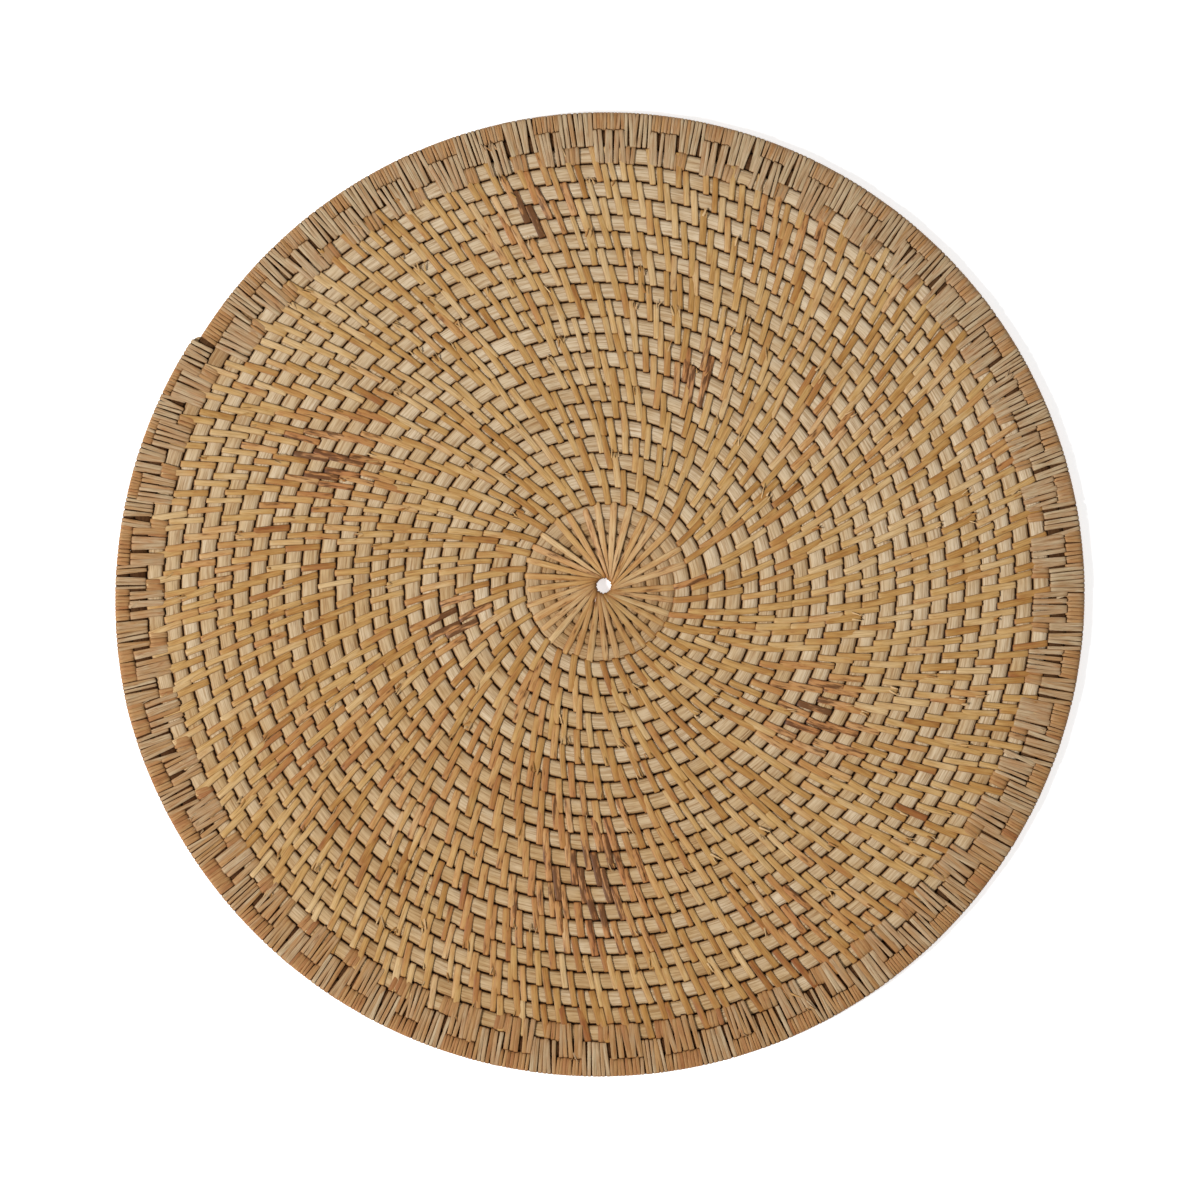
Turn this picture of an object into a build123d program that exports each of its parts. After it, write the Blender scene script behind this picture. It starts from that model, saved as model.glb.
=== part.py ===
from build123d import *
import math
import os

# Winnowing basket: a flat round tray coiled from one continuous rattan core and bound with strips of
# rattan peel. Millimetres. The tray lies flat in the XY plane, its top faces +Z and the axis of the
# small hole in the middle is the Z axis, with Z = 0 on the plane it rests on.

# Coil. It winds clockwise seen from above and its outer end lies at the upper left.
HOLE_RADIUS = 3.0
COIL_END_DEG = 148.0
FIRST_RADIUS = 6.9
START_PITCH = 5.9
START_TURNS = 4
PITCH = 7.06
TURNS = 28

# The coil grows a little faster at the lower side, so its middle creeps that way with each turn.
DRIFT = 0.067
DRIFT_DEG = 258.0

# Foundation core: a flat oval rattan rod, thinner where the coil starts.
CORE_THICKNESS = 4.4
CORE_WIDTH = 5.8
START_CORE_WIDTH = 4.8
START_CORE_TURNS = 5
SIDE_FLAT = 0.02
CORE_LENGTHS = 6
SPLICE_GAP = 0.3
TAIL_TURNS = 1 / 30
TAIL_SECTIONS = ((0.0, 5.8, 4.4), (0.5, 5.0, 4.2), (0.85, 3.6, 3.4), (1.0, 2.2, 2.4))

# Peel: the split skin of the rattan, wound flat round the core. Strips that go down between two turns
# of the coil lie against the turn they hold, so each gap takes two of them side by side.
PEEL_THICKNESS = 0.45
FIT = 0.05
LAYER = 0.3
STITCH_WIDTH = 2.8
STITCH_LEAN = 1.0
STITCH_SPACING = 10.2
FIRST_COURSE = 22
COURSE_ADVANCE = 0.43
BINDING_STRANDS = 40
BESIDE = 2
NUDGE = 0.4
NUDGES_EACH_WAY = 7
NEAR = 22.0

# Spokes: the first strand, wound through the hole and over the innermost turns.
SPOKES = 32
SPOKE_WIDTH = 2.6
SPOKE_TURN = 3
HUB_WALL = 0.7
HUB_RADIUS = 14.5
HUB_OVERLAP = 1.0

# Border: the two outermost turns, bound in alternate groups of short wraps and long strips.
BORDER_TURN = 26
RIM_TURN = 27
GROUP_LENGTH = 24.0
SHORT_WRAPS = 4
SHORT_WIDTH = 2.15
SHORT_STEP = 2.4
RIM_LONG_STRIPS = 6
BORDER_LONG_STRIPS = 4
LONG_WIDTH = 2.0
LONG_STEP = 2.35
BORDER_STRANDS = 5
RIM_STRANDS = 5

# Share of a turn small enough to come from rounding alone.
ROUNDING = 1e-6

RIM_MIDDLE = RIM_TURN + 0.5
CORE_BOTTOM = PEEL_THICKNESS + FIT
CORE_MIDDLE = CORE_BOTTOM + CORE_THICKNESS / 2
TOTAL_THICKNESS = CORE_THICKNESS + 2 * CORE_BOTTOM


def direction(degrees):
    """Unit vector in the XY plane at this angle."""
    return Vector(math.cos(math.radians(degrees)), math.sin(math.radians(degrees)))


def coil_quarters():
    """Centre, radius and start angle of each quarter turn of the coil, drawn as tangent arcs."""
    first_side = START_PITCH / 4
    angle = COIL_END_DEG
    centre = (direction(angle - 90) + direction(angle - 180)) * (first_side / 2)
    radius = FIRST_RADIUS
    quarters = []
    for number in range(4 * TURNS):
        quarters.append((centre, radius, angle))
        growth = (START_PITCH if number < 4 * START_TURNS else PITCH) / 4
        angle -= 90
        growth -= DRIFT / 2 * math.cos(math.radians(angle - DRIFT_DEG))
        centre = centre - direction(angle) * growth
        radius += growth
    return quarters


QUARTERS = coil_quarters()


def quarter_at(turn):
    """Number of the quarter arc that holds this place on the coil."""
    return min(int((turn + ROUNDING) * 4), len(QUARTERS) - 1)


def coil_frame(turn):
    """Centre line point, outward direction and its angle after this many turns of the coil."""
    number = quarter_at(turn)
    centre, radius, start = QUARTERS[number]
    angle = start - (turn * 4 - number) * 90
    return centre + direction(angle) * radius, direction(angle), angle


def turn_length(turn):
    """Length of one turn of the coil about this place."""
    return 2 * math.pi * QUARTERS[quarter_at(turn)][1]


def oval(width, thickness):
    """Flat oval with its long way along X."""
    return RectangleRounded(width, thickness, (min(width, thickness) - SIDE_FLAT) / 2)


def core_length(first_turn, last_turn, width):
    """One length of core, made of arcs joined end to end."""
    arcs = []
    turn = first_turn
    while turn < last_turn - ROUNDING:
        number = quarter_at(turn)
        upto = min(last_turn, (number + 1) / 4)
        centre, radius, _ = QUARTERS[number]
        section = Plane.XZ * Pos(radius, 0) * oval(width, CORE_THICKNESS)
        arc = revolve(section, Axis.Z, (turn - upto) * 360)
        place = Pos(centre.X, centre.Y, CORE_MIDDLE) * Rot(0, 0, coil_frame(turn)[2])
        arcs.append(place * arc)
        turn = upto
    return arcs[0].fuse(*arcs[1:]) if len(arcs) > 1 else arcs[0]


def core_tail(first_turn):
    """The shaved end of the coil, narrowing against the turn inside it."""
    sections = []
    for share, width, thickness in TAIL_SECTIONS:
        point, outward, angle = coil_frame(first_turn + share * TAIL_TURNS - ROUNDING)
        middle = point - outward * ((CORE_WIDTH - width) / 2)
        plane = Plane(origin=(middle.X, middle.Y, CORE_MIDDLE), x_dir=outward,
                      z_dir=direction(angle - 90))
        sections.append(plane * oval(width, thickness))
    return loft(sections)


def binding_turns(first_turn, last_turn):
    """Places of the two-row stitches along the coil. Each sits beside one of the turn before it, and
    one more comes in wherever their spacing has opened out too far."""
    step = 1 / (FIRST_COURSE + COURSE_ADVANCE)
    turns = [first_turn + step * number for number in range(FIRST_COURSE)]
    parent = BESIDE
    owed = 0.0
    while turns[-1] < last_turn:
        beside = turns[parent - BESIDE:parent + BESIDE + 1]
        spacing = (beside[-1] - beside[0]) / (len(beside) - 1)
        place = sum(beside) / len(beside) + 1 - COURSE_ADVANCE * spacing
        gap = (place - turns[-1]) * turn_length(place)
        owed += gap / STITCH_SPACING - 1
        if owed > 0.5 and gap > STITCH_SPACING:
            turns.append((place + turns[-1]) / 2)
            owed -= 1
        turns.append(place)
        parent += 1
    return [turn for turn in turns if turn < last_turn]


class Wrap:
    """One turn of peel round the last rows of the coil at a place: a flat closed loop."""

    def __init__(self, turn, rows, width, lean=0.0):
        point, outward, self.angle = coil_frame(turn)
        spacing = (point - coil_frame(turn - rows + 1)[0]).length
        outer = CORE_WIDTH / 2 + LAYER
        inner = -spacing - outer
        self.turn = turn
        self.middle = point + outward * ((outer + inner) / 2)
        self.half = (outer - inner) / 2
        self.width = width
        self.lean = lean * rows / 2

    def corners(self):
        """Corners of the loop's outline seen from above."""
        outward = direction(self.angle)
        across = direction(self.angle + 90)
        reach = self.half + PEEL_THICKNESS / 2 + FIT
        side = self.width / 2 + FIT
        found = []
        for along, sideways in ((-1, -1), (1, -1), (1, 1), (-1, 1)):
            found.append(self.middle + outward * (along * reach)
                         + across * (along * self.lean + sideways * side))
        return found

    def solid(self):
        """The loop itself."""
        along = Vector(self.half, self.lean, 0)
        plane = Plane(origin=(0, -self.width / 2, TOTAL_THICKNESS / 2), x_dir=along,
                      z_dir=Vector(-self.lean, self.half, 0))
        long_way = 2 * along.length
        inside = Rectangle(long_way - PEEL_THICKNESS, CORE_THICKNESS + 2 * FIT)
        band = Rectangle(long_way + PEEL_THICKNESS, TOTAL_THICKNESS) - inside
        loop = extrude(plane * band, amount=self.width, dir=(0, 1, 0))
        return Pos(self.middle.X, self.middle.Y) * Rot(0, 0, self.angle) * loop


def apart(first, second):
    """Whether two convex outlines in the XY plane leave a line free between them."""
    for outline in (first, second):
        for start, end in zip(outline, outline[1:] + outline[:1]):
            side = Vector(end.Y - start.Y, start.X - end.X)
            ours = [side.dot(corner) for corner in first]
            theirs = [side.dot(corner) for corner in second]
            if max(ours) < min(theirs) or max(theirs) < min(ours):
                return True
    return False


def laid(turns, taken, rows, width, lean=0.0):
    """Wraps at these places, each moved a little along the coil where it needs room beside those
    already taken, which it joins. One that finds no room is left out."""
    kept = []
    nudges = [side * number * NUDGE for number in range(NUDGES_EACH_WAY + 1) for side in (1, -1)]
    for turn in sorted(turns):
        for nudge in nudges:
            wrap = Wrap(turn + nudge / turn_length(turn), rows, width, lean)
            outline = wrap.corners()
            near = [other for other, centre in taken if (centre - wrap.middle).length < NEAR]
            if all(apart(outline, other) for other in near):
                kept.append(wrap)
                taken.append((outline, wrap.middle))
                break
    return kept


def group_starts():
    """Places along the outermost turn where each border group starts."""
    first = RIM_TURN
    last = TURNS - TAIL_TURNS
    count = round((last - first) * turn_length(RIM_MIDDLE) / GROUP_LENGTH)
    return [first + (last - first) * number / count for number in range(count)]


def in_strands(wraps, strands):
    """The wraps in coil order, cut into this many strands of like length."""
    wraps = sorted(wraps, key=lambda each: each.turn)
    cuts = [round(len(wraps) * number / strands) for number in range(strands + 1)]
    return [wraps[start:end] for start, end in zip(cuts, cuts[1:])]


def spoke_ends():
    """Angle and outer reach of each spoke of the centre binding."""
    ends = []
    for number in range(SPOKES):
        turn = SPOKE_TURN + number / SPOKES
        point, outward, angle = coil_frame(turn)
        leg = point + outward * (START_CORE_WIDTH / 2 + LAYER + FIT)
        ends.append((math.degrees(math.atan2(leg.Y, leg.X)), leg.length))
    return ends


def centre_binding():
    """The hub that lines the hole and its spokes, above and below the innermost turns."""
    hub = Cylinder(HOLE_RADIUS + HUB_WALL, TOTAL_THICKNESS, align=(Align.CENTER, Align.CENTER, Align.MIN))
    face = Cylinder(HUB_RADIUS, PEEL_THICKNESS, align=(Align.CENTER, Align.CENTER, Align.MIN))
    top = TOTAL_THICKNESS - PEEL_THICKNESS
    pieces = [face, Pos(0, 0, top) * face]
    for angle, reach in spoke_ends():
        length = reach + PEEL_THICKNESS / 2 - HUB_RADIUS + HUB_OVERLAP
        bar = Box(length, SPOKE_WIDTH, TOTAL_THICKNESS, align=(Align.MIN, Align.CENTER, Align.MIN))
        slot = Box(length, 2 * SPOKE_WIDTH, CORE_THICKNESS + 2 * FIT,
                   align=(Align.MIN, Align.CENTER, Align.MIN))
        spoke = bar - Pos(-PEEL_THICKNESS, 0, PEEL_THICKNESS) * slot
        pieces.append(Rot(0, 0, angle) * Pos(HUB_RADIUS - HUB_OVERLAP, 0, 0) * spoke)
    return hub.fuse(*pieces) - Cylinder(HOLE_RADIUS, 4 * TOTAL_THICKNESS)


def write(node, solids):
    """One STEP file for a node."""
    whole = solids[0] if len(solids) == 1 else Compound(solids)
    export_step(whole, f"parts/{node}.step", write_pcurves=False)


def spoke_outlines():
    """The spokes' outer ends as outlines that the first stitches keep clear of."""
    taken = []
    for angle, reach in spoke_ends():
        outward, across = direction(angle), direction(angle + 90)
        side = SPOKE_WIDTH / 2 + FIT
        outer = reach + PEEL_THICKNESS / 2 + FIT
        outline = [outward * along + across * sideways for along, sideways in
                   ((HUB_RADIUS, -side), (outer, -side), (outer, side), (HUB_RADIUS, side))]
        taken.append((outline, outward * (reach - PITCH)))
    return taken


os.makedirs("parts", exist_ok=True)

bounds = [0, START_CORE_TURNS]
for number in range(1, CORE_LENGTHS):
    share = number / (CORE_LENGTHS - 1)
    bounds.append(math.sqrt(START_CORE_TURNS**2 + share * (TURNS**2 - START_CORE_TURNS**2)))
bounds[-1] = TURNS - TAIL_TURNS
for number, (start, end) in enumerate(zip(bounds, bounds[1:]), 1):
    width = START_CORE_WIDTH if number == 1 else CORE_WIDTH
    cut = 0 if number == CORE_LENGTHS else SPLICE_GAP / turn_length(end)
    rod = core_length(start, end - cut, width)
    if number == CORE_LENGTHS:
        rod = rod.fuse(core_tail(end))
    write(f"foundation_core_{number}", [rod])

write("centre_binding", [centre_binding()])

short_places, rim_long_places, border_places = [], [], []
for start in group_starts():
    step = SHORT_STEP / turn_length(RIM_MIDDLE)
    short_places += [start + (number + 0.5) * step for number in range(SHORT_WRAPS)]
    shift = LONG_STEP / turn_length(RIM_MIDDLE)
    first_long = start + SHORT_WRAPS * step
    rim_long_places += [first_long + (number + 0.5) * shift for number in range(RIM_LONG_STRIPS)]
    border_places += [start - 1 + (number + 0.5) * step for number in range(BORDER_LONG_STRIPS)]

taken = spoke_outlines()
rim = laid(short_places, taken, 1, SHORT_WIDTH) + laid(rim_long_places, taken, 2, LONG_WIDTH)
border = laid(border_places, taken, 2, LONG_WIDTH)
places = binding_turns(START_CORE_TURNS, BORDER_TURN)
binding = laid(places, taken, 2, STITCH_WIDTH, STITCH_LEAN)

for name, wraps, strands in (("binding_strand", binding, BINDING_STRANDS),
                             ("border_strand", border, BORDER_STRANDS),
                             ("rim_strand", rim, RIM_STRANDS)):
    for number, strand in enumerate(in_strands(wraps, strands), 1):
        write(f"{name}_{number:02d}", [wrap.solid() for wrap in strand])
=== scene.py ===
import math

import bpy
import numpy as np
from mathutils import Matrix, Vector


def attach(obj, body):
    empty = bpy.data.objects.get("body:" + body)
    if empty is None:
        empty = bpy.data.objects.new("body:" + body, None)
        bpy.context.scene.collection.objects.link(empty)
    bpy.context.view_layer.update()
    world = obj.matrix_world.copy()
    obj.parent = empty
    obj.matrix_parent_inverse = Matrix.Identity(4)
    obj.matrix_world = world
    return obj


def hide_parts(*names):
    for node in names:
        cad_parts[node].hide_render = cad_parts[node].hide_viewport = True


# Winnowing basket: a flat tray coiled from rattan core and bound with strips of rattan peel.
# Metres, in the CAD frame: Z is the axis of the hole, Z = 0 the floor.

MM = 0.001
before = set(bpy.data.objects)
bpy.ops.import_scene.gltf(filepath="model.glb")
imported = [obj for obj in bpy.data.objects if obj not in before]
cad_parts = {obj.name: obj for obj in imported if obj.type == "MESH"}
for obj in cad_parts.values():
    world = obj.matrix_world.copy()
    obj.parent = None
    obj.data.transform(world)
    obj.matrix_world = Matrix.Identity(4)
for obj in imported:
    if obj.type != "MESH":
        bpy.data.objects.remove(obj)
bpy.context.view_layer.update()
rng = np.random.default_rng(7)

# Coil, as in the CAD: tangent quarter arcs, clockwise seen from above. Here its tail is longer and
# ends in a rounded nub.
COIL_END_DEG = 148.0
FIRST_RADIUS = 6.9 * MM
START_PITCH = 5.9 * MM
START_TURNS = 4
PITCH = 7.06 * MM
TURNS = 28
DRIFT = 0.067 * MM
DRIFT_DEG = 258.0
TAIL_TURNS = 0.13
TAIL_LOSS = 0.66
NUB_TURNS = 0.0036
START_CORE_TURNS = 5
CORE_LENGTHS = 6

# Core rod as it is drawn here, filling its row.
ROD_WIDTH = 7.3 * MM
START_ROD_WIDTH = 6.0 * MM
ROD_THICKNESS = 4.5 * MM
ROD_SQUARENESS = 2.8
ROD_CORNERS = 24
ROD_STEP = 2.2 * MM
MIDDLE_Z = 3.05 * MM
CORE_AGEING = 0.26

# Peel, lying on the rod: its thickness, its height from the middle of the tray, how square its loops
# are by the rows they go round, and how much its strips differ.
PEEL_THICKNESS = 0.5 * MM
PEEL_HEIGHT = 2.5 * MM
LOOP_SQUARENESS = {1: 3.4, 2: 6.5}
END_REACH = 0.35 * MM
WIDTH_VARIED = 0.07
ODD_SHARE = 0.06
ODD_TONES = (-0.25, 0.3)
UNDER_SHADE = 0.4
AGEING = 0.17

# Two-row stitches, and the binding strands they are shared among. The first course reaches further
# in, over the ends of the spokes.
STITCH_WIDTH = 2.65 * MM
STITCH_LEAN = 1.75 * MM
STITCH_SPACING = 10.2 * MM
FIRST_COURSE = 33
FIRST_REACH = 2.2
COURSE_ADVANCE = 0.44
BINDING_STRANDS = 40

# Centre binding: spokes that come out of the hole, widen outward, and pass its middle on one side.
SPOKES = 32
SPOKE_WIDTH = 2.75 * MM
SPOKE_HUB_WIDTH = 1.25 * MM
SPOKE_TAPER = 15.0 * MM
SPOKE_OFFSET = 2.3 * MM
SPOKE_TURN = 3.39
HOLE_RADIUS = 3.0 * MM

# Border and rim: length of a group along the coil, the share of it that short wraps take, and how many
# strips of each kind it has, from the first number up to but not including the second.
BORDER_TURN = 26
RIM_TURN = 27
BORDER_STRANDS = 5
RIM_STRANDS = 5
GROUP_LENGTH = 24.0 * MM
SHORT_SHARE = 0.5
RIM_SHORTS = (8, 11)
RIM_LONGS = (6, 8)
BORDER_LONGS = (5, 7)
BORDER_SHORTS = 3
BORDER_SHADE = 0.66


def coil_quarters():
    """Centre, radius and start angle of each quarter turn of the coil."""
    angle = COIL_END_DEG
    side = START_PITCH / 8
    first = math.radians(angle - 90)
    second = math.radians(angle - 180)
    centre = np.array([math.cos(first) + math.cos(second), math.sin(first) + math.sin(second)]) * side
    radius = FIRST_RADIUS
    rows = []
    for number in range(4 * TURNS):
        rows.append((centre[0], centre[1], radius, angle))
        growth = (START_PITCH if number < 4 * START_TURNS else PITCH) / 4
        angle -= 90
        growth -= DRIFT / 2 * math.cos(math.radians(angle - DRIFT_DEG))
        centre = centre - np.array([math.cos(math.radians(angle)), math.sin(math.radians(angle))]) * growth
        radius += growth
    return np.array(rows)


QUARTERS = coil_quarters()


def coil_frame(turn):
    """Centre line points (n, 2) and outward directions (n, 2) at these places on the coil."""
    turn = np.asarray(turn, float)
    number = np.clip((turn * 4).astype(int), 0, len(QUARTERS) - 1)
    quarter = QUARTERS[number]
    angle = np.radians(quarter[..., 3] - (turn * 4 - number) * 90)
    outward = np.stack([np.cos(angle), np.sin(angle)], -1)
    return quarter[..., :2] + outward * quarter[..., 2:3], outward


def row_left(turn):
    """How much of the outermost row's width is left here: all of it, but for the shaved tail."""
    turn = np.asarray(turn, float)
    tail = np.clip((turn - (TURNS - TAIL_TURNS)) / TAIL_TURNS, 0, 1)
    nub = np.clip((turn - (TURNS - NUB_TURNS)) / NUB_TURNS, 0, 1)
    return (1 - TAIL_LOSS * tail) * np.sqrt(np.maximum(1 - nub ** 2, 0.02))


def warmth(turn):
    """How much browner the fibres are here, from -1 to 1: the tray has aged most at its lower left."""
    place = coil_frame(turn)[0]
    return np.clip(-(0.9 * place[..., 1] + 0.4 * place[..., 0]) / 0.2, -1, 1)


def turn_length(turn):
    """Length of one turn of the coil about this place."""
    return 2 * math.pi * QUARTERS[min(int(turn * 4), len(QUARTERS) - 1)][2]


def on_coil(turn, along, out, up):
    """Points at these distances along, outward of and above the coil's centre line at a turn."""
    place, outward = coil_frame(turn + along / turn_length(float(np.mean(turn))))
    return np.concatenate([place + outward * np.asarray(out)[..., None], np.asarray(up)[..., None]], -1)


class Pieces:
    """Vertices, faces and per-vertex values gathered for one mesh."""

    def __init__(self):
        self.points, self.faces, self.grain = [], [], []
        self.values = {"tint": [], "age": [], "shade": [], "edge": []}
        self.count = 0

    def tube(self, rings, closed, grain, **values):
        """Adds rings (n, m, 3) joined into a tube, with its own grain (n, m, 2)."""
        n, m = rings.shape[:2]
        index = np.arange(n * m).reshape(n, m) + self.count
        after = np.roll(index, -1, 1)
        first, last = index[:-1], index[1:]
        if closed:
            first, last = index, np.roll(index, -1, 0)
        quads = np.stack([first, after[:len(first)], np.roll(last, -1, 1), last], -1).reshape(-1, 4)
        self.faces += quads.tolist()
        if not closed:
            self.faces.append(index[0][::-1].tolist())
            self.faces.append(index[-1].tolist())
        self.points.append(rings.reshape(-1, 3))
        self.grain.append(grain.reshape(-1, 2))
        for label, kept in self.values.items():
            kept.append(np.broadcast_to(np.asarray(values[label], float), (n, m)).reshape(-1))
        self.count += n * m

    def build(self, name, material):
        """The mesh object."""
        mesh = bpy.data.meshes.new(name)
        points = np.concatenate(self.points)
        mesh.from_pydata(points.tolist(), [], self.faces)
        for label, values in self.values.items():
            layer = mesh.attributes.new(label, "FLOAT", "POINT")
            layer.data.foreach_set("value", np.concatenate(values).astype(np.float32))
        layer = mesh.attributes.new("grain", "FLOAT_VECTOR", "POINT")
        flat = np.concatenate(self.grain)
        vectors = np.concatenate([flat, np.zeros((len(flat), 1))], 1)
        layer.data.foreach_set("vector", vectors.astype(np.float32).ravel())
        mesh.shade_smooth()
        mesh.set_sharp_from_angle(angle=math.radians(48))
        mesh.materials.append(material)
        piece = bpy.data.objects.new(name, mesh)
        bpy.context.scene.collection.objects.link(piece)
        return piece


def unit(vectors):
    """Vectors scaled to length one."""
    return vectors / np.maximum(np.linalg.norm(vectors, axis=-1, keepdims=True), 1e-12)


# Peel cross-section: sideways position and height above the strip's middle, as shares of half the
# width and of the thickness, and how much of the dark edge colour each point takes: partly a cut edge,
# partly painted shade between and under strips. The skin is barely crowned.
PEEL_ACROSS = np.array([-1.0, -0.95, -0.8, -0.35, 0.35, 0.8, 0.95, 1.0, 0.85, 0.0, -0.85])
PEEL_UP = np.array([-0.15, 0.3, 0.47, 0.58, 0.58, 0.47, 0.3, -0.15, -0.5, -0.5, -0.5])
PEEL_EDGE = np.array([1.0, 0.9, 0.2, 0.0, 0.0, 0.2, 0.9, 1.0, 1.0, 1.0, 1.0])


def strip(pieces, path, sides, widths, start, tint, age, shade, closed=False, thickness=PEEL_THICKNESS):
    """Adds one strip of peel along path (n, 3), with these sides (n, 3) and its skin facing along
    sides x path."""
    ahead = np.gradient(path, axis=0)
    if closed:
        ahead = np.roll(path, -1, 0) - np.roll(path, 1, 0)
    ahead = unit(ahead)
    sides = unit(sides - ahead * (sides * ahead).sum(-1, keepdims=True))
    skin = np.cross(sides, ahead)
    half = (np.asarray(widths) / 2)[:, None, None]
    rings = (path[:, None] + sides[:, None] * PEEL_ACROSS[None, :, None] * half
             + skin[:, None] * PEEL_UP[None, :, None] * thickness)
    step = np.linalg.norm(np.diff(path, axis=0), axis=1)
    length = start + np.concatenate([[0], np.cumsum(step)])
    grain = np.stack(np.broadcast_arrays(length[:, None], PEEL_ACROSS[None] * half[:, :, 0]), -1)
    pieces.tube(rings, closed, grain, tint=tint, age=age, shade=shade, edge=PEEL_EDGE[None])


def splinter(pieces, turn, along, out, length, slant, width, tint):
    """Adds one frayed sliver of peel lying on the weave, narrowing to a point at its outer end."""
    share = np.linspace(0, 1, 5)
    lift = PEEL_HEIGHT + (0.2 + 0.55 * np.sin(share * math.pi * 0.62)) * MM
    path = on_coil(turn, along + slant * share * length, out + share * length, MIDDLE_Z + lift)
    outward = coil_frame(np.full(len(share), turn))[1]
    sides = np.stack([outward[:, 1], -outward[:, 0], np.full(len(share), rng.normal(0, 0.3))], -1)
    strip(pieces, path, sides, width * (1 - 0.75 * share ** 1.5), rng.uniform(0, 5), tint, 0.2, 0.0,
          thickness=0.25 * MM)


def loop_path(half, height, power, count_top, count_under):
    """Positions across and up of a rounded loop, from its inner end over the top and back below."""
    top = np.linspace(math.pi, 0, count_top)
    under = np.linspace(0, -math.pi, count_under)
    angle = np.concatenate([top, under[1:]])
    across = half * np.sign(np.cos(angle)) * np.abs(np.cos(angle)) ** (2 / power)
    up = height * np.sign(np.sin(angle)) * np.abs(np.sin(angle)) ** (2 / power)
    return across, up, len(top)


def binding_turns(first_turn, last_turn):
    """Places of the two-row stitches along the coil. Each sits beside one of the turn before it, and
    one more comes in wherever their spacing has opened out too far."""
    step = 1 / (FIRST_COURSE + COURSE_ADVANCE)
    turns = [first_turn + step * (number + 0.3 * math.sin(4 * math.pi * number / FIRST_COURSE + 1.0))
             for number in range(FIRST_COURSE)]
    parent = 2
    owed = 0.0
    while turns[-1] < last_turn:
        beside = turns[parent - 2:parent + 3]
        spacing = (beside[4] - beside[0]) / 4
        place = sum(beside) / 5 + 1 - COURSE_ADVANCE * spacing
        gap = (place - turns[-1]) * turn_length(place)
        owed += max(gap / STITCH_SPACING - 1, -0.02)
        if owed > 0.5 and gap > STITCH_SPACING:
            turns.append((place + turns[-1]) / 2)
            owed -= 1
        turns.append(place)
        parent += 1
    return [turn for turn in turns if turn < last_turn]


def wound(pieces, turns, rows, width, lean, tint, age, jitter, lift=0.0, ends=0.95, open_edge=False,
          varied=0.07, frayed=0.0):
    """One strand wound round this row of the coil and the rows before it, at each of these turns, with
    a slanting run below from each turn to the next. An open edge is one on the rim: the strips lie
    close together there, with little crevice beside them, and fan out at their inner ends."""
    inner = -(rows - 0.5) * PITCH
    runs = []
    slip = [rng.normal(0, jitter * (0.35 if open_edge else 1)) for _ in turns]
    tip = [rng.normal(0, jitter * 0.8) for _ in turns]
    for number, turn in enumerate(turns):
        outer = float(row_left(turn) - 0.5) * PITCH
        first_course = rows > 1 and turn < SPOKE_TURN + 3
        near = inner - abs(rng.normal(0, END_REACH)) * (FIRST_REACH if first_course else 1)
        far = outer + abs(rng.normal(0, END_REACH)) * (not open_edge)
        middle, half = (far + near) / 2, (far - near) / 2
        across, up, over = loop_path(half, PEEL_HEIGHT, LOOP_SQUARENESS[rows], 17, 8)
        share = (across + half) / (2 * half)
        here = slip[number]
        last = number + 1 == len(turns)
        following = turn + STITCH_SPACING / turn_length(turn) if last else turns[number + 1]
        to_next = (following - turn) * turn_length(turn) + (0.0 if last else slip[number + 1])
        reach = lean * rows / 2 + tip[number]
        lateral = here + reach * (1 - 2 * share) + open_edge * tip[number]
        back = 1 - share[over:]
        lateral[over:] = (here - reach) * (1 - back) + (to_next + lean * rows / 2) * back
        rise = 1 + rng.normal(0, 0.015) + np.where(up > 0, lift / PEEL_HEIGHT, 0)
        points = on_coil(turn, lateral, middle + across, MIDDLE_Z + up * rise)
        outward = coil_frame(turn + lateral / turn_length(turn))[1]
        tilt = np.where(up > 0, rng.normal(0, 0.05), 0.0)
        clockwise = np.stack([outward[:, 1], -outward[:, 0], tilt], -1)
        near_end = np.clip((np.abs(across) / half - 0.6) / 0.4, 0, 1) ** 2
        wide = width * (1 + rng.normal(0, WIDTH_VARIED)) * (1 - (1 - ends) * near_end)
        # Painted shade at strip ends diving between rods; lighter at the rim edge and first-course inner
        # ends.
        sunk = np.clip((np.abs(across) / half - 0.9) / 0.09, 0, 1)
        if open_edge:
            sunk = np.where(across > 0, 0.3 * sunk, sunk)
        if first_course:
            sunk = np.where(across < 0, 0.6 * sunk, sunk)
        odd = rng.uniform() < ODD_SHARE
        tone = tint + rng.normal(0, varied) + (rng.choice(ODD_TONES) if odd else 0.0)
        tone += AGEING * warmth(turn)
        # Painted shade on the runs below the rods.
        shade = np.where(up < -0.3 * PEEL_HEIGHT, UNDER_SHADE, sunk)
        values = np.stack([wide, np.full(len(across), tone), np.full(len(across), age[number]), shade], -1)
        stop = len(across) if last else len(across) - 1
        runs.append(np.concatenate([points, clockwise, values], -1)[:stop])
        if rng.uniform() < frayed:
            for _ in range(int(rng.integers(1, 4))):
                length = rng.uniform(1.5, 4.5) * MM
                splinter(pieces, turn, here - reach * rng.uniform(0.2, 1) + rng.normal(0, 0.9) * MM,
                         outer - length + rng.uniform(-0.8, 1.6) * MM, length, rng.normal(-0.25, 0.3),
                         rng.uniform(0.4, 1.1) * MM, rng.choice((-0.25, 0.0, 0.3, 0.7)))
    run = np.concatenate(runs)
    strip(pieces, run[:, :3], run[:, 3:6], run[:, 6], float(rng.uniform(0, 5)), run[:, 7:8], run[:, 8:9],
          run[:, 9:10])


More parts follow.
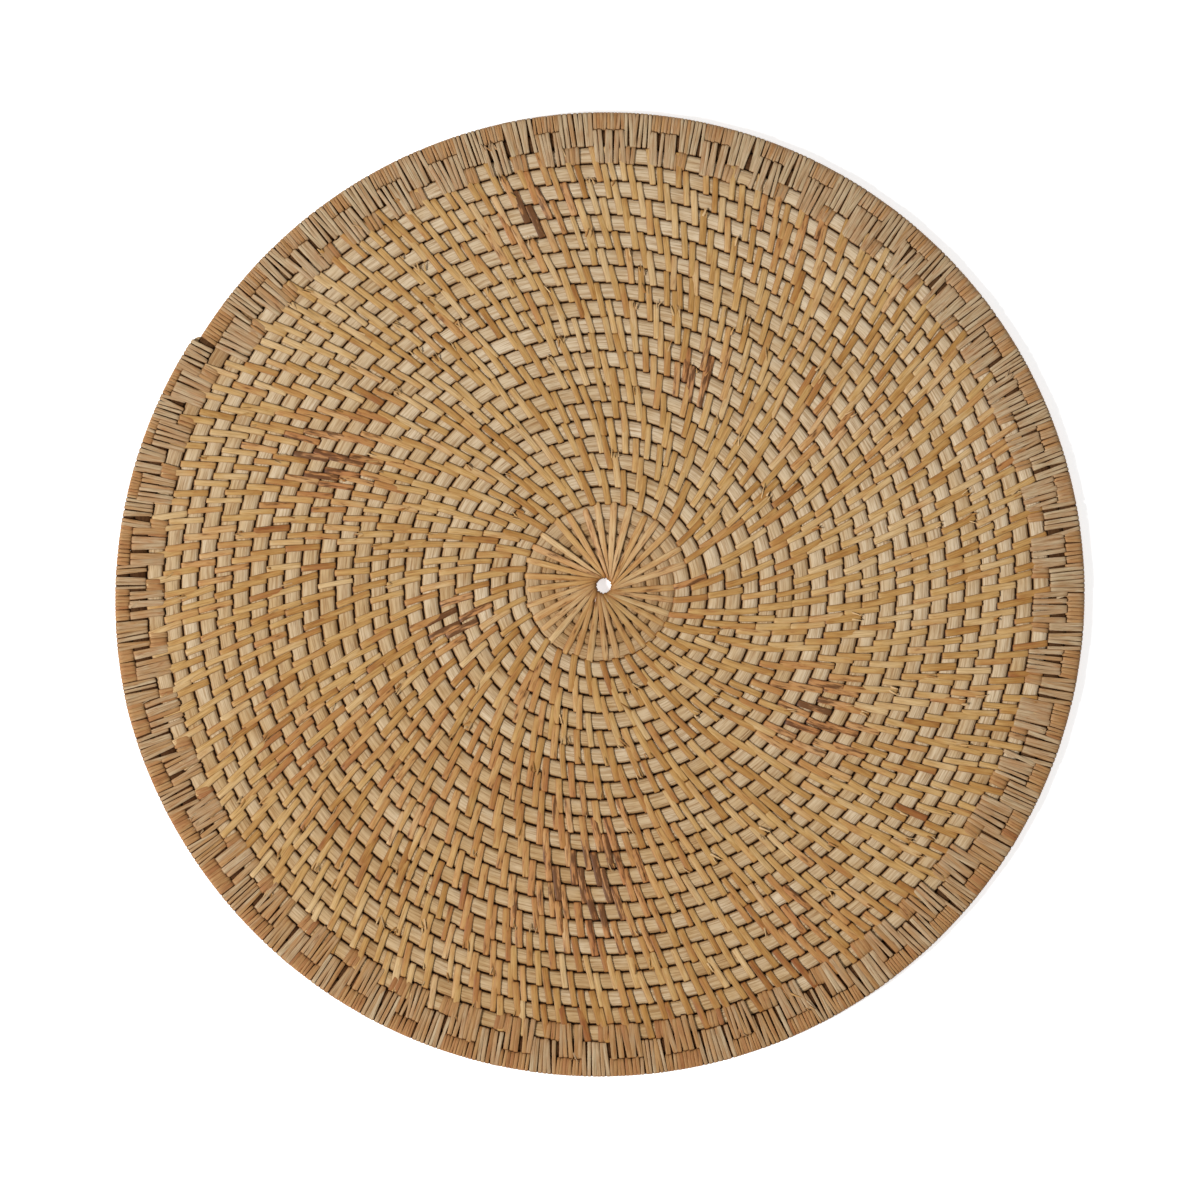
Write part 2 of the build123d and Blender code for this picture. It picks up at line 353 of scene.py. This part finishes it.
def rod(pieces, first, last, tint):
    """Adds one length of core along the coil, with its cut ends and, at the coil's end, its tail."""
    length = (last - first) * turn_length((first + last) / 2)
    turn = np.linspace(first, last, int(length / ROD_STEP))
    if last == TURNS:
        nub = TURNS - NUB_TURNS * (1 - np.linspace(0, 1, 9) ** 0.6)
        turn = np.concatenate([turn[turn < nub[0]], nub])
    centre, outward = coil_frame(turn)
    width = np.interp(turn, [START_TURNS - 1, START_TURNS], [START_ROD_WIDTH, ROD_WIDTH])
    corner = np.linspace(0, 2 * math.pi, ROD_CORNERS, endpoint=False)
    across = np.sign(np.cos(corner)) * np.abs(np.cos(corner)) ** (2 / ROD_SQUARENESS)
    up = np.sign(np.sin(corner)) * np.abs(np.sin(corner)) ** (2 / ROD_SQUARENESS)
    left = row_left(turn)
    wave = np.convolve(rng.normal(0, 1, len(turn) + 14), np.ones(15) / 15, "valid")
    wide = width / 2 * left * (1 + 0.03 * wave)
    high = ROD_THICKNESS / 2 * (0.45 + 0.55 * left) * (1 - 0.03 * wave)
    shift = -(width / 2) * (1 - left)
    out = shift[:, None] + across[None] * wide[:, None]
    flat = centre[:, None] + outward[:, None] * out[..., None]
    height = MIDDLE_Z + up[None] * high[:, None]
    rings = np.concatenate([flat, height[..., None]], -1)
    step = np.concatenate([[0], np.cumsum(np.linalg.norm(np.diff(centre, axis=0), axis=1))])
    around = corner[None] * (ROD_WIDTH + ROD_THICKNESS) / 4
    grain = np.stack(np.broadcast_arrays(step[:, None] + rng.uniform(0, 3), around), -1)
    blotch = np.convolve(rng.normal(0, 1, len(turn) + 60), np.ones(61) / 61, "valid")
    # Painted shade: darker at rod sides in crevices, a light shade under spokes, deep under the border.
    shade = np.clip((np.abs(across) - 0.71) / 0.25, 0, 1) ** 1.3
    spoked = np.clip((SPOKE_TURN + 1.6 - turn) / 2.0, 0, 1)
    under_border = BORDER_SHADE * np.clip((turn - (BORDER_TURN - 0.05)) / 0.1, 0, 1)
    under_border = under_border * (turn < TURNS - 4 * NUB_TURNS)
    least = np.maximum(0.2 * spoked, under_border)
    shade = np.maximum(shade[None] * (1 - 0.6 * spoked[:, None]), least[:, None])
    tone = tint + 0.6 * blotch - CORE_AGEING * warmth(turn)
    pieces.tube(rings, False, grain, tint=tone[:, None], age=0.0, shade=shade, edge=0.0)


class Nodes:
    """Short names for building a material's node tree. Values may be numbers, colours or sockets."""

    def __init__(self, name):
        self.material = bpy.data.materials.new(name)
        self.material.use_nodes = True
        self.tree = self.material.node_tree
        self.shader = self.tree.nodes["Principled BSDF"]

    def add(self, kind, **values):
        node = self.tree.nodes.new(kind)
        for key, value in values.items():
            setattr(node, key, value)
        return node

    def link(self, source, target):
        self.tree.links.new(source, target)

    def attribute(self, name):
        return self.add("ShaderNodeAttribute", attribute_name=name)

    def maths(self, operation, first, second=None, third=None, clamp=False):
        node = self.add("ShaderNodeMath", operation=operation, use_clamp=clamp)
        for socket, value in zip(node.inputs, (first, second, third)):
            if value is None:
                continue
            if isinstance(value, (int, float)):
                socket.default_value = value
            else:
                self.link(value, socket)
        return node.outputs[0]

    def noise(self, vector, scale, detail=3.0, roughness=0.55, stretch=(1, 1, 1), shift=(0, 0, 0)):
        place = self.add("ShaderNodeMapping")
        place.inputs["Scale"].default_value = stretch
        place.inputs["Location"].default_value = shift
        self.link(vector, place.inputs["Vector"])
        texture = self.add("ShaderNodeTexNoise")
        texture.inputs["Scale"].default_value = scale
        texture.inputs["Detail"].default_value = detail
        texture.inputs["Roughness"].default_value = roughness
        self.link(place.outputs[0], texture.inputs["Vector"])
        return texture.outputs["Fac"]

    def ramp(self, value, stops):
        node = self.add("ShaderNodeValToRGB")
        ramp = node.color_ramp
        while len(ramp.elements) < len(stops):
            ramp.elements.new(0.5)
        for element, (position, colour) in zip(ramp.elements, stops):
            element.position = position
            element.color = (*colour, 1)
        self.link(value, node.inputs[0])
        return node.outputs["Color"]

    def mix(self, share, first, second, blend="MIX"):
        node = self.add("ShaderNodeMix", data_type="RGBA", blend_type=blend)
        for label, value in (("Factor", share), ("A", first), ("B", second)):
            socket = node.inputs[label]
            if isinstance(value, (int, float)):
                socket.default_value = value
            elif isinstance(value, tuple):
                socket.default_value = (*value, 1)
            else:
                self.link(value, socket)
        return node.outputs["Result"]

    def bump(self, height, strength, distance):
        node = self.add("ShaderNodeBump")
        node.inputs["Strength"].default_value = strength
        node.inputs["Distance"].default_value = distance
        self.link(height, node.inputs["Height"])
        self.link(node.outputs[0], self.shader.inputs["Normal"])


# Colours: cut edges, which also carry painted shade between strips, specks and rust on the peel, then
# the ranges that painted crevice shade, stains, the two kinds of peel and the core run through.
EDGE_BROWN_AND_SHADE = (0.17, 0.075, 0.025)
SPECK_BROWN = (0.20, 0.075, 0.02)
RUST = (0.50, 0.215, 0.085)
CREVICE_SHADE_STOPS = [(0.0, (1, 1, 1)), (0.3, (0.71, 0.585, 0.45)), (0.62, (0.16, 0.092, 0.049)),
                 (0.9, (0.012, 0.006, 0.003))]
STAIN_STOPS = [(0.0, (0.56, 0.26, 0.09)), (0.4, (0.33, 0.12, 0.03)), (0.85, (0.075, 0.021, 0.003))]
HONEY_STOPS = [(0.0, (0.64, 0.445, 0.225)), (0.35, (0.55, 0.332, 0.118)), (0.7, (0.42, 0.208, 0.052)),
               (1.0, (0.28, 0.092, 0.021))]
TAN_STOPS = [(0.0, (0.52, 0.395, 0.245)), (0.3, (0.44, 0.29, 0.155)), (0.6, (0.43, 0.245, 0.095)),
             (1.0, (0.31, 0.13, 0.042))]
CORE_STOPS = [(0.0, (0.41, 0.24, 0.10)), (0.35, (0.52, 0.35, 0.175)), (0.7, (0.61, 0.465, 0.295)),
              (1.0, (0.69, 0.555, 0.385))]


def peel_material(name, stops, streak, stain, rough, coat):
    """Split rattan skin: smooth and slightly glossy, with fine streaks along the strip, darker cut
    edges that are partly painted shade between strips, brown specks, rusty patches and stains, a tone
    of its own for each strand, and painted shade in crevices, at strip ends and on undersides."""
    nodes = Nodes(name)
    grain = nodes.attribute("grain").outputs["Vector"]
    labels = ("tint", "age", "shade", "edge")
    tint, age, shade, edge = (nodes.attribute(label).outputs["Fac"] for label in labels)
    fine = nodes.noise(grain, 1.0, 3.0, 0.6, (110, 2300, 1))
    broad = nodes.noise(grain, 1.0, 2.0, 0.5, (60, 850, 1), (3, 7, 1))
    patch = nodes.noise(grain, 1.0, 3.0, 0.6, (70, 160, 1), (11, 2, 5))
    tone = nodes.maths("MULTIPLY_ADD", patch, 0.9, nodes.maths("ADD", tint, -0.45))
    tone = nodes.maths("MULTIPLY_ADD", broad, 0.5, nodes.maths("ADD", tone, -0.25), clamp=True)
    colour = nodes.ramp(tone, stops)
    streaks = nodes.ramp(fine, [(0.32, (1 - streak, 1 - streak * 1.25, 1 - streak * 1.6)), (0.58, (1, 1, 1))])
    colour = nodes.mix(1.0, colour, streaks, "MULTIPLY")
    # Dark strip edges and undersides in patches: partly cut-edge colour, partly painted shade between strips.
    cut = nodes.maths("MULTIPLY", edge, nodes.maths("MULTIPLY_ADD", patch, 1.6, -0.1, clamp=True))
    colour = nodes.mix(cut, colour, EDGE_BROWN_AND_SHADE)
    spots = nodes.noise(grain, 1.0, 4.0, 0.7, (260, 900, 1), (1, 5, 2))
    speck = nodes.maths("MULTIPLY_ADD", spots, 9.0, -5.8, clamp=True)
    colour = nodes.mix(nodes.maths("MULTIPLY", speck, 0.6), colour, SPECK_BROWN)
    rusty = nodes.maths("MULTIPLY_ADD", patch, 1.3, nodes.maths("MULTIPLY_ADD", age, 1.5, -0.8), clamp=True)
    colour = nodes.mix(nodes.maths("MULTIPLY", rusty, 0.6), colour, RUST)
    marks = nodes.noise(grain, 1.0, 3.0, 0.6, (120, 700, 1), (6, 1, 9))
    level = nodes.maths("MULTIPLY_ADD", marks, 4.6, nodes.maths("MULTIPLY_ADD", age, 1.75, -2.9), clamp=True)
    stained = nodes.ramp(level, STAIN_STOPS)
    colour = nodes.mix(nodes.maths("MULTIPLY", level, stain), colour, stained)
    # Painted shade: darkens the peel in crevices, at strip ends diving between rods, and on undersides.
    colour = nodes.mix(1.0, colour, nodes.ramp(shade, CREVICE_SHADE_STOPS), "MULTIPLY")
    nodes.link(colour, nodes.shader.inputs["Base Color"])
    nodes.link(nodes.maths("MULTIPLY_ADD", fine, 0.25, rough), nodes.shader.inputs["Roughness"])
    nodes.shader.inputs["Specular IOR Level"].default_value = 0.22
    nodes.shader.inputs["Coat Weight"].default_value = coat
    nodes.shader.inputs["Coat Roughness"].default_value = 0.35
    nodes.bump(nodes.maths("MULTIPLY_ADD", broad, 0.6, fine), 0.5, 0.00015)
    return nodes.material


def core_material(name):
    """Rattan core: pale and dry, with close fibres and pores along the rod."""
    nodes = Nodes(name)
    grain = nodes.attribute("grain").outputs["Vector"]
    tint, shade = (nodes.attribute(label).outputs["Fac"] for label in ("tint", "shade"))
    fibre = nodes.noise(grain, 1.0, 3.0, 0.6, (55, 1500, 1))
    close = nodes.noise(grain, 1.0, 3.0, 0.6, (90, 3400, 1), (5, 3, 1))
    patch = nodes.noise(grain, 1.0, 3.0, 0.55, (60, 120, 1), (8, 2, 4))
    tone = nodes.maths("MULTIPLY_ADD", patch, 1.1, nodes.maths("ADD", tint, -0.55), clamp=True)
    colour = nodes.ramp(tone, CORE_STOPS)
    lines = nodes.ramp(fibre, [(0.36, (0.68, 0.57, 0.46)), (0.54, (1, 1, 1))])
    colour = nodes.mix(0.9, colour, lines, "MULTIPLY")
    pores = nodes.ramp(close, [(0.34, (0.60, 0.49, 0.38)), (0.47, (1, 1, 1))])
    colour = nodes.mix(0.8, colour, pores, "MULTIPLY")
    # Painted shade: darkens the core towards crevices between rows, under spokes and under the border.
    colour = nodes.mix(1.0, colour, nodes.ramp(shade, CREVICE_SHADE_STOPS), "MULTIPLY")
    nodes.link(colour, nodes.shader.inputs["Base Color"])
    nodes.link(nodes.maths("MULTIPLY_ADD", close, 0.2, 0.62), nodes.shader.inputs["Roughness"])
    nodes.shader.inputs["Specular IOR Level"].default_value = 0.1
    nodes.bump(nodes.maths("ADD", fibre, close), 0.8, 0.00025)
    return nodes.material


core_look = core_material("rattan_core")
binding_look = peel_material("binding_peel", HONEY_STOPS, 0.32, 0.85, 0.42, 0.03)
border_look = peel_material("border_peel", TAN_STOPS, 0.42, 0.8, 0.5, 0.0)


def shown(pieces, node, material):
    """Builds a mesh that stands for one CAD node and rides on the part."""
    piece = pieces.build(node + "_look", material)
    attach(piece, "root")
    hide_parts(node)


# Foundation core.
ends = [0, START_CORE_TURNS]
for number in range(1, CORE_LENGTHS):
    share = number / (CORE_LENGTHS - 1)
    ends.append(math.sqrt(START_CORE_TURNS ** 2 + share * (TURNS ** 2 - START_CORE_TURNS ** 2)))
for number, (start, end) in enumerate(zip(ends, ends[1:]), 1):
    pieces = Pieces()
    rod(pieces, start, end, 0.6)
    shown(pieces, f"foundation_core_{number}", core_look)


# Centre binding: strips that come up through the hole and cross the innermost turns.
def spokes():
    """The spokes, each a closed loop through the hole that passes its middle on one side."""
    pieces = Pieces()
    near = HOLE_RADIUS + 0.3 * MM
    for number in range(SPOKES):
        turn = SPOKE_TURN + (number + 0.5 + rng.uniform(-0.15, 0.15)) / (SPOKES + COURSE_ADVANCE)
        place, outward = coil_frame(turn)
        end = place + outward * START_PITCH * rng.uniform(0.42, 0.8)
        reach = float(np.linalg.norm(end))
        bearing = math.atan2(end[1], end[0])
        across, up, _ = loop_path(1.0, 1.0, 5.0, 20, 10)
        radius = near + (reach - near) * (across + 1) / 2
        offset = SPOKE_OFFSET + rng.normal(0, 0.25) * MM
        turning = bearing + math.asin(offset / reach) - np.arcsin(offset / radius)
        stack = (0.5 + 0.12 * (number % 4)) * MM * np.exp(-(radius - near) / (5 * MM))
        height = MIDDLE_Z + up * (PEEL_HEIGHT + (up > 0) * (stack + 0.09 * MM * (number % 3)))
        path = np.stack([radius * np.cos(turning), radius * np.sin(turning), height], -1)
        flat = np.stack([np.sin(turning), -np.cos(turning), np.zeros(len(turning))], -1)
        run = np.stack([np.cos(turning), np.sin(turning), np.zeros(len(turning))], -1)
        sides = unit(flat + run * (offset / radius)[:, None])
        sides[:, 2] = (0.12 + 0.3 * np.exp(-(radius - near) / (7 * MM))) * np.sign(up)
        opened = np.clip((radius - near) / SPOKE_TAPER, 0, 1)
        wide = SPOKE_HUB_WIDTH + (SPOKE_WIDTH - SPOKE_HUB_WIDTH) * opened
        wide = wide * (1 + rng.normal(0, WIDTH_VARIED)) * (1 - 0.25 * np.clip((across - 0.9) / 0.1, 0, 1))
        # Painted shade on undersides, at the outer tips where spokes dive, and deepening towards the hole.
        sunk = np.where(up < 0, UNDER_SHADE, 0.75 * np.clip((across - 0.97) / 0.03, 0, 1))
        dim = 0.4 * np.exp(-(radius - near) / (2.5 * MM))
        strip(pieces, path[:-1], sides[:-1], wide[:-1], rng.uniform(0, 5), 0.2 + rng.normal(0, 0.13),
              0.3 + rng.normal(0, 0.08), np.maximum(sunk, dim)[:-1, None], closed=True)
    return pieces


shown(spokes(), "centre_binding", binding_look)


def strands(name, turns, count, draw):
    """Cuts a run of places into strands and draws each as the look of its CAD node."""
    cuts = [round(len(turns) * number / count) for number in range(count + 1)]
    for number, (start, end) in enumerate(zip(cuts, cuts[1:]), 1):
        draw(f"{name}_{number:02d}", turns[start:end])


def binding(node, turns):
    """One binding strand, stitched over two turns of the coil at a time."""
    pieces = Pieces()
    tint = float(np.clip(rng.normal(0.42, 0.12), 0.1, 0.8))
    age = [max(0.0, stain_at(turn)) for turn in turns]
    wound(pieces, turns, 2, STITCH_WIDTH * (1 + rng.normal(0, 0.04)), STITCH_LEAN, tint, age, 0.35 * MM,
          varied=0.12, frayed=0.14)
    shown(pieces, node, binding_look)


# Stained patches of peel: bearing in degrees, distance from the hole and spread in millimetres, and
# strength. The first six are dark with use, the others only ruddy.
STAINS = ((192, 66, 9, 1.3), (155, 125, 14, 1.1), (267, 130, 18, 1.1), (328, 105, 14, 1.2),
          (101, 160, 11, 1.1), (66, 98, 8, 1.1), (2, 40, 9, 0.55), (250, 155, 14, 0.5),
          (20, 180, 10, 0.6), (60, 170, 14, 0.6), (205, 150, 16, 0.4), (300, 160, 12, 0.5),
          (225, 110, 26, 0.35), (262, 100, 24, 0.3), (35, 120, 18, 0.4), (175, 165, 14, 0.4),
          (240, 60, 14, 0.3))


def stain_at(turn):
    """How stained the peel is at this place."""
    place = coil_frame(turn)[0] / MM
    level = 0.05
    for bearing, distance, spread, strength in STAINS:
        middle = (distance * math.cos(math.radians(bearing)), distance * math.sin(math.radians(bearing)))
        away = (place[0] - middle[0]) ** 2 + (place[1] - middle[1]) ** 2
        level += 0.75 * strength * math.exp(-away / (2 * spread ** 2))
    return level + float(rng.normal(0, 0.12))


strands("binding_strand", binding_turns(SPOKE_TURN + 2, BORDER_TURN), BINDING_STRANDS, binding)


# Border: short wraps round the outermost turn between groups of long strips over the outer two, and
# the same one turn further in, set between them.
def groups():
    """Where each group of the rim starts, and where the last one ends."""
    first, last = RIM_TURN, TURNS - 0.5 * NUB_TURNS
    count = round((last - first) * turn_length(RIM_TURN + 0.5) / GROUP_LENGTH)
    places = []
    for number in range(count):
        places.append(first + (last - first) * (number + rng.uniform(-0.08, 0.08)) / count)
    return places + [last]


group_places = groups()
short_shares = {start: SHORT_SHARE * (1 + rng.normal(0, 0.12)) for start in group_places}


def rim(node, starts):
    """One rim strand: short wraps, then long strips fanned over the outer two turns, in each group."""
    pieces = Pieces()
    tint = float(rng.normal(0.36, 0.07))
    for start in starts:
        span = group_places[group_places.index(start) + 1] - start
        shorts = int(rng.integers(*RIM_SHORTS))
        longs = int(rng.integers(*RIM_LONGS))
        short_span = span * short_shares[start]
        turns = [start + short_span * (item + 0.5) / shorts for item in range(shorts)]
        width = short_span * turn_length(start) / shorts
        wound(pieces, turns, 1, width * 1.04, 0.0, tint + 0.17, [0.25] * shorts, 0.15 * MM,
              lift=0.05 * MM, ends=1.0, open_edge=True, varied=0.09)
        turns = [start + short_span + (span - short_span) * (item + 0.5) / longs for item in range(longs)]
        width = (span - short_span) * turn_length(start) / longs * 0.93
        wound(pieces, turns, 2, width, 0.3 * MM, tint - 0.22, [0.15] * longs, 0.42 * MM,
              lift=0.12 * MM, ends=0.98, open_edge=True, varied=0.13)
    shown(pieces, node, border_look)


def border(node, starts):
    """One border strand: long strips beside each group's short wraps, then a few wraps further in."""
    pieces = Pieces()
    tint = float(rng.normal(0.46, 0.08))
    for start in starts:
        span = group_places[group_places.index(start) + 1] - start
        longs = int(rng.integers(*BORDER_LONGS))
        group_span = span * short_shares[start]
        turns = [start - 1 + group_span * (item + 0.5) / longs for item in range(longs)]
        width = group_span * turn_length(start) / longs * 0.88
        wound(pieces, turns, 2, width, 0.4 * MM, tint - 0.27, [0.2] * longs, 0.38 * MM,
              lift=0.35 * MM, varied=0.13, frayed=0.05)
        turns = [start - 2 + span * (0.52 + 0.09 * item) for item in range(BORDER_SHORTS)]
        width = span * 0.085 * turn_length(start)
        wound(pieces, turns, 1, width, 0.0, tint + 0.1, [0.25] * BORDER_SHORTS, 0.12 * MM,
              lift=0.2 * MM, ends=0.97, varied=0.1)
    shown(pieces, node, border_look)


strands("rim_strand", group_places[:-1], RIM_STRANDS, rim)
strands("border_strand", group_places[:-1], BORDER_STRANDS, border)


# Floor, light and camera: it looks straight down at this point, and sees a field this wide.
FIELD = 495.4 * MM
CAMERA_HEIGHT = 2.2
CENTRE = (-1.6 * MM, -5.9 * MM)


def stage():
    """A pale floor under a dim white sky, and two soft lamps that point at the tray."""
    bpy.ops.mesh.primitive_plane_add(size=12, location=(0, 0, 0))
    floor = bpy.context.object
    floor.name = "floor"
    nodes = Nodes("floor")
    nodes.shader.inputs["Base Color"].default_value = (0.9, 0.9, 0.9, 1)
    nodes.shader.inputs["Roughness"].default_value = 0.9
    nodes.shader.inputs["Emission Color"].default_value = (1, 1, 1, 1)
    nodes.shader.inputs["Emission Strength"].default_value = 0.65
    floor.data.materials.append(nodes.material)
    world = bpy.data.worlds.new("studio")
    bpy.context.scene.world = world
    world.use_nodes = True
    world.node_tree.nodes["Background"].inputs["Color"].default_value = (1, 1, 1, 1)
    world.node_tree.nodes["Background"].inputs["Strength"].default_value = 0.2
    lamps = (("key", (-2.6, -0.9, 2.8), 0.8, 170), ("fill", (2.4, 1.6, 3.8), 2.4, 26))
    for name, place, size, power in lamps:
        light = bpy.data.lights.new(name, "AREA")
        light.size = size
        light.energy = power
        lamp = bpy.data.objects.new(name, light)
        bpy.context.scene.collection.objects.link(lamp)
        lamp.location = place
        lamp.rotation_euler = (-Vector(place)).to_track_quat("-Z", "Y").to_euler()


stage()
bpy.context.scene.view_settings.view_transform = "Standard"
lens = bpy.data.cameras.new("camera")
lens.sensor_width = 36
lens.lens = 36 * CAMERA_HEIGHT / FIELD
camera = bpy.data.objects.new("camera", lens)
bpy.context.scene.collection.objects.link(camera)
camera.location = (CENTRE[0], CENTRE[1], CAMERA_HEIGHT)
camera.rotation_euler = (0, 0, 0)
bpy.context.scene.camera = camera
